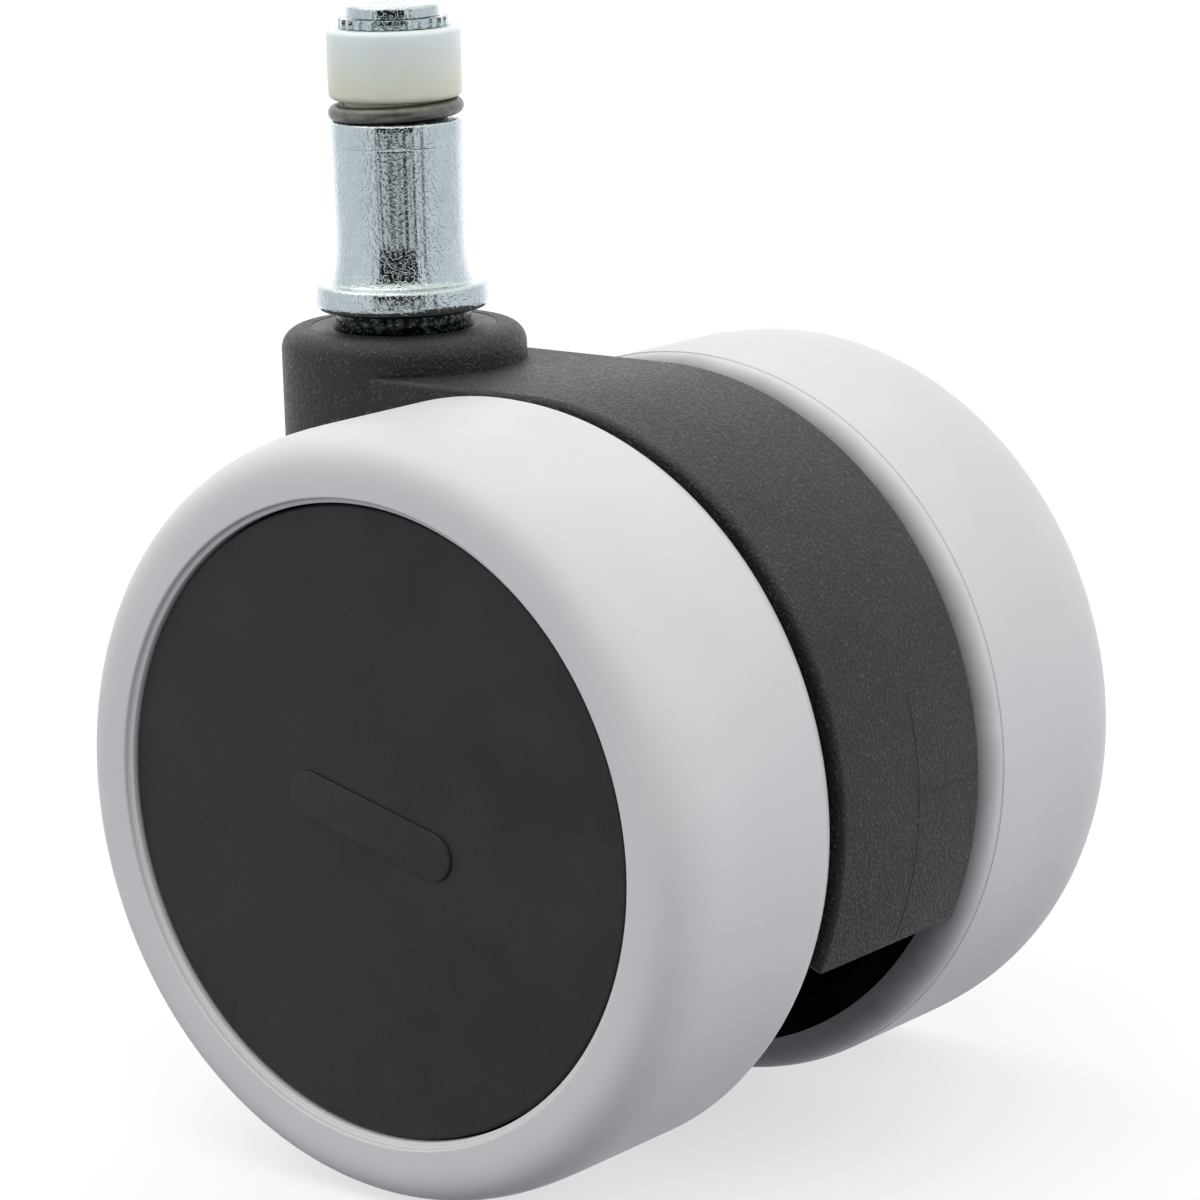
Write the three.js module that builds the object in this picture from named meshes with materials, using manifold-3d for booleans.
// Twin-wheel swivel caster for an office chair, with a grip-ring stem.
// A brake inside the housing holds the wheels while the chair is empty.
// Millimetres. Z is the swivel axis, with z = 0 on the upper face of the stem's flange.
// The wheels trail towards +X and turn about an axle along Y. The left wheel is the one at -Y.

import * as THREE from "three";
import { mergeVertices } from "three/addons/utils/BufferGeometryUtils.js";
import Module from "manifold-3d";

const wasm = await Module();
wasm.setup();

// Driving dimensions
const WHEEL_R = 30;
const TRAIL = 20; // from the swivel axis back to the axle
const AXLE_Z = -36;
const TYRE_FACE = 29.3; // outer side of each tyre, from the middle plane
const TYRE_INNER_FACE = 9.5;
const HALF_WIDTH = 9.15; // the housing, between the wheels
const CAP_R = 24.5;
const AXLE_R = 3;
const TRAVEL = 1.35; // how far the housing rises on the stem when someone sits down

// Stem
const STEM_R = 5.4;
const STEM_WAIST_R = 5.28;
const STEM_TOP = 13.05;
const FLANGE_R = 7.15;
const FLANGE_T = 2.2;
const SKIRT_R = 5.5; // the sleeve's foot, inside the boss
const SKIRT_END = -10;
const PIN_R = 3;
const PIN_FOOT_R = 2.5;
const PIN_HEAD_R = 3.87;
const PIN_TOP = 22.2;
const BUSH_BOTTOM = 14.7;
const BUSH_TOP = 20.35;
const SPIGOT_R = 3.7; // the bush's stub, inside the sleeve's neck
const SPIGOT_END = 10.95;
const NECK_R = 4.05; // the sleeve's neck, inside the grip ring
const NECK_TOP = 14;
const WASHER_T = 0.75;
const RING_WIRE_R = 0.65;
const RING_R = 5.45 - RING_WIRE_R; // centre line of the grip ring's wire
const RING_Z = 13.77;

// Housing
const BOSS_R = 9.95;
const BOSS_TOP = -FLANGE_T - TRAVEL;
const BORE_R = 7;
const MOUTH_FLARE = 0.6; // the bore widens by this much at its mouth, at 45 degrees
const FLOOR_TOP = -18; // the plate that the pin holds
const FLOOR_BOTTOM = -20.4;
const HOOD_R = 29.7;
const HOOD_T = 2.4;
const HOOD_END = -24; // degrees from the axle's level
const WEB_INNER = 3; // the two webs leave a channel for the brake lever
const WEB_OUTER = 5.2;
const CHEEK_INNER = 7.2;
const BARREL_R = 6.6;

// Wheels, as distances from the middle plane
const RIM_R = 27.1;
const RIM_INNER_R = 24.75;
const RIM_OUTER_FACE = 27.7;
const DISC = [13.6, 16];
const HUB_R = 7.6;
const HUB_BORE_R = 5.25;
const HUB_END = 24.6;
const BRAKE_RING_R = 12.5;
const CAP_FACE = 28.5;
const CAP_BACK = 26.9;
const CLIP_T = 0.5;

// Brake lever
const PIVOT = { x: 12.5, z: -12 };
const PIVOT_R = 1.5;
const NOSE = { x: 6, z: -11.95, r: 0.85 };
const SHOE_R = [13.5, 15.4];
const SHOE_HALF_WIDTH = 13.2;
const SHOE_ANGLES = [78, 104];

const GAP = 0.06; // running clearance, and between pieces that touch
const rad = THREE.MathUtils.degToRad;
const ordered = (a, b) => [Math.min(a, b), Math.max(a, b)];

const finishes = {
  zinc: new THREE.MeshStandardMaterial({ color: 0xb4bcc2, roughness: 0.35, metalness: 1 }),
  spring_steel: new THREE.MeshStandardMaterial({ color: 0x7a7773, roughness: 0.45, metalness: 1 }),
  nylon: new THREE.MeshStandardMaterial({ color: 0xdde3e0, roughness: 0.45, metalness: 0 }),
  black_nylon: new THREE.MeshStandardMaterial({ color: 0x2f2e30, roughness: 0.6, metalness: 0 }),
  cap_plastic: new THREE.MeshStandardMaterial({ color: 0x2c2a2c, roughness: 0.5, metalness: 0 }),
  soft_tread: new THREE.MeshStandardMaterial({ color: 0xcfcbcc, roughness: 0.55, metalness: 0 }),
  bearing_resin: new THREE.MeshStandardMaterial({ color: 0x3d3c3a, roughness: 0.4, metalness: 0 }),
  friction_rubber: new THREE.MeshStandardMaterial({ color: 0x1d1d1d, roughness: 0.8, metalness: 0 }),
};

// ---------- geometry helpers ----------

// Points on an ellipse about (cx, cy), from angle a0 to a1 in degrees. A power over 2 makes it squarer.
function arc(cx, cy, rx, a0, a1, steps, ry = rx, power = 2) {
  const squared = (v) => Math.sign(v) * Math.abs(v) ** (2 / power);
  return Array.from({ length: steps + 1 }, (_, i) => {
    const a = rad(a0 + ((a1 - a0) * i) / steps);
    return [cx + rx * squared(Math.cos(a)), cy + ry * squared(Math.sin(a))];
  });
}

// Revolves an outline of [radius, height] points about Y. It starts and ends on the axis, or closes on itself.
function turnedAboutY(outline, segments = 30) {
  const onAxis = 1e-9;
  const points = outline.map(([r, h]) => new THREE.Vector2(Math.abs(r) < onAxis ? 0 : r, h));
  if (THREE.ShapeUtils.area(points) < 0) points.reverse();
  if (points[0].x > 0 || points.at(-1).x > 0) points.push(points[0].clone());
  return new THREE.LatheGeometry(points, segments);
}

const turnedAboutZ = (outline, segments) => turnedAboutY(outline, segments).rotateX(Math.PI / 2);

// A ring of rectangular section about Z.
const ring = (inner, outer, z0, z1, segments) =>
  turnedAboutZ([[inner, z0], [outer, z0], [outer, z1], [inner, z1]], segments);

// Extrudes an outline in the X-Z plane along Y, from y0 to y1, with its long edges rounded.
function plate(shape, y0, y1, round = 0) {
  const depth = y1 - y0 - 2 * round;
  const geometry = new THREE.ExtrudeGeometry(shape, {
    depth,
    curveSegments: 14,
    bevelEnabled: round > 0,
    bevelThickness: round,
    bevelSize: round,
    bevelOffset: -round,
    bevelSegments: 2,
  });
  return geometry.rotateX(Math.PI / 2).translate(0, y1 - round, 0);
}

function block(x0, x1, y0, y1, z0, z1) {
  const box = new THREE.BoxGeometry(x1 - x0, y1 - y0, z1 - z0);
  return box.translate((x0 + x1) / 2, (y0 + y1) / 2, (z0 + z1) / 2);
}

const rodAlongY = (r, y0, y1, x = 0, z = 0, segments = 24) =>
  new THREE.CylinderGeometry(r, r, y1 - y0, segments).translate(x, (y0 + y1) / 2, z);

function rodAlongZ(r, z0, z1, segments = 30) {
  const rod = new THREE.CylinderGeometry(r, r, z1 - z0, segments);
  return rod.rotateX(Math.PI / 2).translate(0, 0, (z0 + z1) / 2);
}

// ---------- boolean helpers ----------

function solid(geometry) {
  const bare = geometry.clone();
  bare.deleteAttribute("normal");
  bare.deleteAttribute("uv");
  const merged = mergeVertices(bare);
  const vertProperties = merged.attributes.position.array;
  const triVerts = new Uint32Array(merged.index.array);
  return new wasm.Manifold(new wasm.Mesh({ numProp: 3, vertProperties, triVerts }));
}

function geometryOf(made) {
  const mesh = made.getMesh();
  const geometry = new THREE.BufferGeometry();
  geometry.setAttribute("position", new THREE.BufferAttribute(mesh.vertProperties, 3));
  geometry.setIndex(new THREE.BufferAttribute(mesh.triVerts, 1));
  geometry.computeVertexNormals();
  return geometry;
}

const join = (...pieces) => geometryOf(pieces.map(solid).reduce((a, b) => a.add(b)));

const cut = (body, ...tools) =>
  geometryOf(tools.map(solid).reduce((left, tool) => left.subtract(tool), solid(body)));

const keep = (body, tool) => geometryOf(solid(body).intersect(solid(tool)));

// ---------- assembly ----------

const caster = new THREE.Group();
const wheels = new THREE.Group(); // its origin is the axle's middle
wheels.position.set(TRAIL, 0, AXLE_Z);
caster.add(wheels);

function add(name, geometry, finish, parent = caster) {
  const mesh = new THREE.Mesh(geometry, finishes[finish]);
  mesh.name = name;
  parent.add(mesh);
}

// ---------- stem: what stays fixed in the chair's base ----------

function stemSleeve() {
  const edge = 0.3;
  const underEdge = 0.8;
  const flareR = 6.05;
  const flareTop = 3.6;
  return turnedAboutZ([
    [PIN_R + GAP, SKIRT_END],
    [SKIRT_R, SKIRT_END],
    [SKIRT_R, -FLANGE_T],
    ...arc(FLANGE_R - underEdge, -FLANGE_T + underEdge, underEdge, -90, 0, 3),
    ...arc(FLANGE_R - edge, -edge, edge, 0, 90, 2),
    ...arc(flareR, flareTop, flareR - STEM_WAIST_R, 270, 180, 4, flareTop),
    [STEM_R, STEM_TOP - edge],
    ...arc(STEM_R - edge, STEM_TOP - edge, edge, 45, 90, 1),
    [NECK_R, STEM_TOP],
    [NECK_R, NECK_TOP],
    [SPIGOT_R + GAP, NECK_TOP],
    [SPIGOT_R + GAP, SPIGOT_END - GAP],
    [PIN_R + GAP, SPIGOT_END - GAP],
  ]);
}

function nylonBush() {
  const lowerEdge = 0.6;
  const upperEdge = 0.4;
  return turnedAboutZ([
    [PIN_R + GAP, SPIGOT_END],
    [SPIGOT_R, SPIGOT_END],
    [SPIGOT_R, NECK_TOP + GAP],
    [NECK_R + GAP, NECK_TOP + GAP],
    [NECK_R + GAP, BUSH_BOTTOM],
    ...arc(STEM_R - lowerEdge, BUSH_BOTTOM + lowerEdge, lowerEdge, -90, 0, 3),
    ...arc(STEM_R - upperEdge, BUSH_TOP - upperEdge, upperEdge, 0, 90, 2),
    [PIN_R + GAP, BUSH_TOP],
  ]);
}

// The split grip ring, a little askew on its seat.
function snapRing() {
  const wire = arc(RING_R, 0, RING_WIRE_R, 0, 300, 5);
  const split = block(-7, -3, -0.7, 0.7, -2, 2);
  return cut(turnedAboutZ(wire), split).rotateX(rad(-1)).translate(0, 0, RING_Z);
}

const THRUST_WASHER_T = 0.85;
const THRUST_WASHER_Z = SKIRT_END - GAP - THRUST_WASHER_T;
const thrustWasher = () => ring(PIN_R + 0.3, BORE_R - 0.3, THRUST_WASHER_Z, SKIRT_END - GAP);

add("stem_sleeve", stemSleeve(), "zinc");
add("nylon_bush", nylonBush(), "nylon");
add("snap_ring", snapRing(), "spring_steel");
add("thrust_washer", thrustWasher(), "zinc");

// ---------- core: what rises with the housing, but doesn't swivel ----------

const LOCK_WASHER_TOP = BUSH_TOP + GAP + WASHER_T;
const CLIP_GROOVE = [FLOOR_BOTTOM - 0.9, FLOOR_BOTTOM - 0.25];
const CLIP_R = 4.5;

function corePin() {
  const edge = 0.35;
  const headBottom = LOCK_WASHER_TOP + GAP;
  const grooveR = PIN_FOOT_R - 0.6;
  const foot = FLOOR_BOTTOM - 2.2;
  return turnedAboutZ([
    [0, foot],
    [PIN_FOOT_R - edge, foot],
    [PIN_FOOT_R, foot + edge],
    [PIN_FOOT_R, CLIP_GROOVE[0]],
    [grooveR, CLIP_GROOVE[0]],
    [grooveR, CLIP_GROOVE[1]],
    [PIN_FOOT_R, CLIP_GROOVE[1]],
    [PIN_FOOT_R, FLOOR_TOP + GAP],
    [PIN_R, FLOOR_TOP + GAP],
    [PIN_R, headBottom],
    [PIN_HEAD_R, headBottom],
    ...arc(PIN_HEAD_R - edge, PIN_TOP - edge, edge, 0, 90, 2),
    [0, PIN_TOP],
  ], 30);
}

// Thin washer with a ring of small locking teeth.
function lockWasher() {
  const teeth = 24;
  const [root, tip] = [4.12, 4.37];
  const outline = Array.from({ length: 2 * teeth }, (_, i) => {
    const a = (Math.PI * i) / teeth;
    const r = i % 2 ? root : tip;
    return new THREE.Vector2(r * Math.cos(a), r * Math.sin(a));
  });
  const shape = new THREE.Shape(outline);
  const disc = new THREE.ExtrudeGeometry(shape, { depth: WASHER_T, bevelEnabled: false });
  disc.translate(0, 0, LOCK_WASHER_TOP - WASHER_T);
  return cut(disc, rodAlongZ(PIN_R + GAP, 0, PIN_TOP));
}

// A retaining clip about Z, open towards -X.
function clip(inner, outer, z0, z1) {
  const opening = inner * 0.8;
  return cut(ring(inner, outer, z0, z1, 32), block(-outer - 1, 0, -opening, opening, z0 - 1, z1 + 1));
}

function stemSpring() {
  const wireR = 0.45;
  const coilR = 4.2;
  const turns = 4.5;
  const low = FLOOR_TOP + wireR + 0.1;
  const high = THRUST_WASHER_Z - wireR - 0.1;
  class Helix extends THREE.Curve {
    getPoint(t, target = new THREE.Vector3()) {
      const a = 2 * Math.PI * turns * t;
      const z = THREE.MathUtils.lerp(low, high, t);
      return target.set(coilR * Math.cos(a), coilR * Math.sin(a), z);
    }
  }
  const wire = new THREE.Shape().absarc(0, 0, wireR, 0, 2 * Math.PI);
  return new THREE.ExtrudeGeometry(wire, { steps: 48, curveSegments: 3, extrudePath: new Helix() });
}

add("core_pin", corePin(), "zinc");
add("lock_washer", lockWasher(), "zinc");
const pinClip = clip(PIN_FOOT_R - 0.55, CLIP_R, CLIP_GROOVE[0] + 0.05, CLIP_GROOVE[1] - 0.05);
add("pin_clip", pinClip, "spring_steel");
add("stem_spring", stemSpring(), "spring_steel");

// ---------- housing: what swivels ----------

// The boss and the column under it, flat-sided where it stands between the wheels.
function bossSolid() {
  const edge = 1.7;
  const fullRoundDownTo = -12.9;
  const boss = turnedAboutZ([
    [0, FLOOR_BOTTOM],
    [BOSS_R, FLOOR_BOTTOM],
    ...arc(BOSS_R - edge, BOSS_TOP - edge, edge, 0, 90, 4),
    [0, BOSS_TOP],
  ], 48);
  const side = (y0, y1) => block(-12, 12, y0, y1, FLOOR_BOTTOM - 1, fullRoundDownTo);
  return cut(boss, side(HALF_WIDTH, 12), side(-12, -HALF_WIDTH));
}

// The hood follows the wheels round from the rear cut to the top, then runs level into the boss.
function hoodSolid() {
  const [outer, inner] = [HOOD_R, HOOD_R - HOOD_T];
  const shape = new THREE.Shape();
  shape.absarc(TRAIL, AXLE_Z, outer, rad(HOOD_END), rad(90));
  shape.lineTo(0, AXLE_Z + outer);
  shape.lineTo(0, AXLE_Z + inner);
  shape.lineTo(TRAIL, AXLE_Z + inner);
  shape.absarc(TRAIL, AXLE_Z, inner, rad(90), rad(HOOD_END), true);
  return plate(shape, -HALF_WIDTH, HALF_WIDTH, 0.9);
}

// The wall that closes the housing's front carries the column on down and curves back to the axle.
function frontWall() {
  const shape = new THREE.Shape();
  shape.moveTo(-BOSS_R - 1, -18);
  shape.quadraticCurveTo(-9.4, -29, 4.4, -41.2);
  shape.lineTo(6.8, -39);
  shape.quadraticCurveTo(-6.4, -28, -6.6, -18);
  const wall = plate(shape, -HALF_WIDTH, HALF_WIDTH, 0.7);
  const behind = block(0, 10, -HALF_WIDTH, HALF_WIDTH, -45, -18);
  return keep(wall, join(rodAlongZ(BOSS_R, -45, -18, 48), behind));
}

function web(y0, y1) {
  const shape = new THREE.Shape();
  shape.moveTo(-7.5, -12);
  shape.lineTo(-8, -20);
  shape.quadraticCurveTo(-7, -29, 5.6, -40.1);
  shape.lineTo(TRAIL - 3, AXLE_Z - BARREL_R + 0.8);
  shape.lineTo(TRAIL + 3, AXLE_Z - BARREL_R + 0.8);
  shape.quadraticCurveTo(36, -38, TRAIL + 28 * Math.cos(rad(16)), AXLE_Z + 28 * Math.sin(rad(16)));
  shape.absarc(TRAIL, AXLE_Z, 28, rad(16), rad(90));
  shape.lineTo(0, AXLE_Z + 28);
  return plate(shape, y0, y1);
}

// Fills the corner under the hood, where it runs into the boss.
function cheek(y0, y1) {
  const shape = new THREE.Shape();
  shape.moveTo(-1, AXLE_Z + HOOD_R - 1);
  shape.lineTo(12, AXLE_Z + HOOD_R - 1);
  shape.lineTo(8.5, -10.5);
  shape.lineTo(-1, -17);
  return plate(shape, y0, y1);
}

function housing() {
  const shell = join(
    bossSolid(),
    hoodSolid(),
    frontWall(),
    web(WEB_INNER, WEB_OUTER),
    web(-WEB_OUTER, -WEB_INNER),
    cheek(CHEEK_INNER, HALF_WIDTH),
    cheek(-HALF_WIDTH, -CHEEK_INNER),
    rodAlongY(BARREL_R, -HALF_WIDTH, HALF_WIDTH, TRAIL, AXLE_Z, 32),
  );
  const mouthR = BORE_R + MOUTH_FLARE;
  const mouth = turnedAboutZ([
    [0, BOSS_TOP - MOUTH_FLARE],
    [BORE_R, BOSS_TOP - MOUTH_FLARE],
    [mouthR, BOSS_TOP],
    [mouthR, 1],
    [0, 1],
  ]);
  const noseSlot = block(2, 13, -WEB_INNER, WEB_INNER, -15.6, SKIRT_END + 0.1);
  const shoeWindow = block(15.2, 26.4, -HALF_WIDTH - 1, HALF_WIDTH + 1, -24.8, -17.4);
  return cut(
    shell,
    mouth,
    rodAlongZ(BORE_R, FLOOR_TOP, BOSS_TOP + 1),
    rodAlongZ(PIN_FOOT_R + GAP, FLOOR_BOTTOM - 1, FLOOR_TOP + 1),
    rodAlongZ(CLIP_R + 0.4, FLOOR_BOTTOM - 4, FLOOR_BOTTOM),
    noseSlot,
    shoeWindow,
    rodAlongY(AXLE_R + GAP, -20, 20, TRAIL, AXLE_Z),
    rodAlongY(PIVOT_R + GAP, -8, 8, PIVOT.x, PIVOT.z, 24),
  );
}

// The bush's flared top fills the boss's mouth, nearly level with the boss.
function swivelBush() {
  const innerTop = BOSS_TOP - 0.15;
  return turnedAboutZ([
    [SKIRT_R + GAP, SKIRT_END + 0.2],
    [BORE_R - GAP, SKIRT_END + 0.2],
    [BORE_R - GAP, BOSS_TOP - MOUTH_FLARE],
    [BORE_R + MOUTH_FLARE - 2 * GAP, BOSS_TOP - GAP],
    [SKIRT_R + 0.3, innerTop],
    [SKIRT_R + GAP, innerTop - 0.2],
  ]);
}

function axle() {
  const end = HUB_END + 1.3;
  const groove = [HUB_END + 0.2, HUB_END + 0.2 + CLIP_T + 0.1];
  const half = [
    [AXLE_R, groove[0]],
    [AXLE_R - 0.6, groove[0]],
    [AXLE_R - 0.6, groove[1]],
    [AXLE_R, groove[1]],
    [AXLE_R, end - 0.4],
    [AXLE_R - 0.4, end],
    [0, end],
  ];
  const mirrored = half.map(([r, y]) => [r, -y]).reverse();
  return turnedAboutY([...mirrored, ...half], 28);
}

add("housing", housing(), "black_nylon");
add("swivel_bush", swivelBush(), "bearing_resin");
add("axle", axle(), "zinc", wheels);
add("brake_pivot", rodAlongY(PIVOT_R, -WEB_OUTER, WEB_OUTER, PIVOT.x, PIVOT.z), "zinc");

// ---------- brake lever ----------

// A bar with round ends between two points of the X-Z plane.
function bar(from, to, r) {
  const a = Math.atan2(to.z - from.z, to.x - from.x);
  const shape = new THREE.Shape();
  shape.absarc(from.x, from.z, r, a + Math.PI / 2, a + 1.5 * Math.PI);
  shape.absarc(to.x, to.z, r, a - Math.PI / 2, a + Math.PI / 2);
  return shape;
}

// Part of a ring about the axle, in the X-Z plane.
function sector([inner, outer], [a0, a1]) {
  const shape = new THREE.Shape();
  shape.absarc(TRAIL, AXLE_Z, outer, rad(a0), rad(a1));
  shape.absarc(TRAIL, AXLE_Z, inner, rad(a1), rad(a0), true);
  return shape;
}

function brakeLever() {
  const half = WEB_INNER - 0.4;
  const shoeMiddle = { x: TRAIL, z: AXLE_Z + (SHOE_R[0] + SHOE_R[1]) / 2 };
  const lever = join(
    plate(bar(NOSE, PIVOT, NOSE.r), -half, half),
    plate(bar(PIVOT, shoeMiddle, 1.7), -half, half),
    rodAlongY(2.5, -half, half, PIVOT.x, PIVOT.z, 24),
    plate(sector(SHOE_R, SHOE_ANGLES), -SHOE_HALF_WIDTH, SHOE_HALF_WIDTH),
  );
  const belowShoe = rodAlongY(SHOE_R[0], -half - 1, half + 1, TRAIL, AXLE_Z, 48);
  return cut(lever, rodAlongY(PIVOT_R + GAP, -4, 4, PIVOT.x, PIVOT.z, 24), belowShoe);
}

function brakePad(side) {
  const pad = sector([BRAKE_RING_R + 0.2, SHOE_R[0] - 0.1], SHOE_ANGLES);
  return plate(pad, ...ordered(side * 10.4, side * (SHOE_HALF_WIDTH - 0.2)));
}

add("brake_lever", brakeLever(), "black_nylon");

// ---------- wheels ----------

// The outlines below give [radius, distance from the middle plane].
// side is -1 for the left wheel and 1 for the right.
const turnedWheelPart = (side, outline, segments) =>
  turnedAboutY(outline.map(([r, y]) => [r, side * y]), segments);

function tyre(side) {
  const radial = 4.8;
  const axial = 7.8;
  const squareness = 3.9;
  const innerCorner = 2.5;
  const lip = 1.5;
  const lipR = CAP_R + 0.12;
  const ledge = { r: CAP_R + 0.5, y: CAP_FACE + 0.25 }; // a step round the cap, inside the tyre's outer face
  const shoulder = arc(WHEEL_R - radial, TYRE_FACE - axial, radial, 0, 90, 7, axial, squareness);
  return turnedWheelPart(side, [
    [lipR, TYRE_FACE - lip],
    [lipR, ledge.y],
    [ledge.r, ledge.y],
    ...shoulder.reverse(),
    ...arc(WHEEL_R - innerCorner, TYRE_INNER_FACE + innerCorner, innerCorner, 0, -90, 4),
    [RIM_R + 0.1, TYRE_INNER_FACE],
    [RIM_R + 0.1, TYRE_FACE - lip],
  ], 48);
}

function hub(side) {
  const core = turnedWheelPart(side, [
    [HUB_BORE_R, 9.9],
    [HUB_R, 9.9],
    [HUB_R, DISC[0]],
    [BRAKE_RING_R - 2.2, DISC[0]],
    [BRAKE_RING_R - 2.2, 10.2],
    [BRAKE_RING_R, 10.2],
    [BRAKE_RING_R, DISC[0]],
    [RIM_INNER_R, DISC[0]],
    [RIM_INNER_R, 9.8],
    [RIM_R, 9.8],
    [RIM_R, RIM_OUTER_FACE],
    [RIM_INNER_R, RIM_OUTER_FACE],
    [RIM_INNER_R, CAP_BACK - 0.2],
    [RIM_INNER_R - 1.8, CAP_BACK - 0.2],
    [RIM_INNER_R - 0.4, CAP_BACK - 2.4],
    [RIM_INNER_R - 0.4, DISC[1]],
    [HUB_R, DISC[1]],
    [HUB_R, HUB_END],
    [HUB_BORE_R, HUB_END],
  ], 32);
  const ribs = 6;
  const ribY = ordered(side * (DISC[1] - 0.5), side * 22);
  const rib = (_, i) =>
    block(HUB_R - 0.5, RIM_INNER_R + 0.2, ...ribY, -0.8, 0.8).rotateY((2 * Math.PI * (i + 0.25)) / ribs);
  return join(core, ...Array.from({ length: ribs }, rib));
}

// Cover disc with a skirt that snaps into the hub, and a plain raised pad in its middle.
function cap(side) {
  const edge = 0.3;
  const skirt = [21.4, 22.6];
  const disc = turnedWheelPart(side, [
    [0, CAP_BACK],
    [skirt[0], CAP_BACK],
    [skirt[0], CAP_BACK - 2],
    [skirt[1], CAP_BACK - 2],
    [skirt[1], CAP_BACK],
    [CAP_R - GAP, CAP_BACK],
    [CAP_R - GAP, CAP_FACE - edge],
    [CAP_R - GAP - edge, CAP_FACE],
    [0, CAP_FACE],
  ], 40);
  const pad = { length: 12.4, r: 1.9, height: 0.25, tilt: 14 };
  const outline = bar({ x: -pad.length / 2, z: 0 }, { x: pad.length / 2, z: 0 }, pad.r);
  const raised = plate(outline, ...ordered(side * (CAP_FACE - 0.4), side * (CAP_FACE + pad.height)));
  return join(disc, raised.rotateY(rad(pad.tilt)));
}

const alongAxle = (side, inner, outer, y0, y1, segments) =>
  turnedWheelPart(side, [[inner, y0], [outer, y0], [outer, y1], [inner, y1]], segments);

function axleClip(side) {
  const geometry = clip(AXLE_R - 0.55, AXLE_R + 1.8, HUB_END + 0.25, HUB_END + 0.25 + CLIP_T);
  return geometry.rotateX((-side * Math.PI) / 2);
}

for (const [name, side] of [["left", -1], ["right", 1]]) {
  const spacer = alongAxle(side, AXLE_R + GAP, 6.2, HALF_WIDTH + GAP, 9.7, 28);
  const bearing = alongAxle(side, AXLE_R + GAP, HUB_BORE_R - GAP, 9.8, HUB_END - 0.1, 28);
  add(`${name}_spacer`, spacer, "zinc", wheels);
  add(`${name}_axle_clip`, axleClip(side), "spring_steel", wheels);
  add(`${name}_brake_pad`, brakePad(side), "friction_rubber");
  add(`${name}_tyre`, tyre(side), "soft_tread", wheels);
  add(`${name}_hub`, hub(side), "black_nylon", wheels);
  add(`${name}_cap`, cap(side), "cap_plastic", wheels);
  add(`${name}_bearing`, bearing, "bearing_resin", wheels);
}

export default caster;
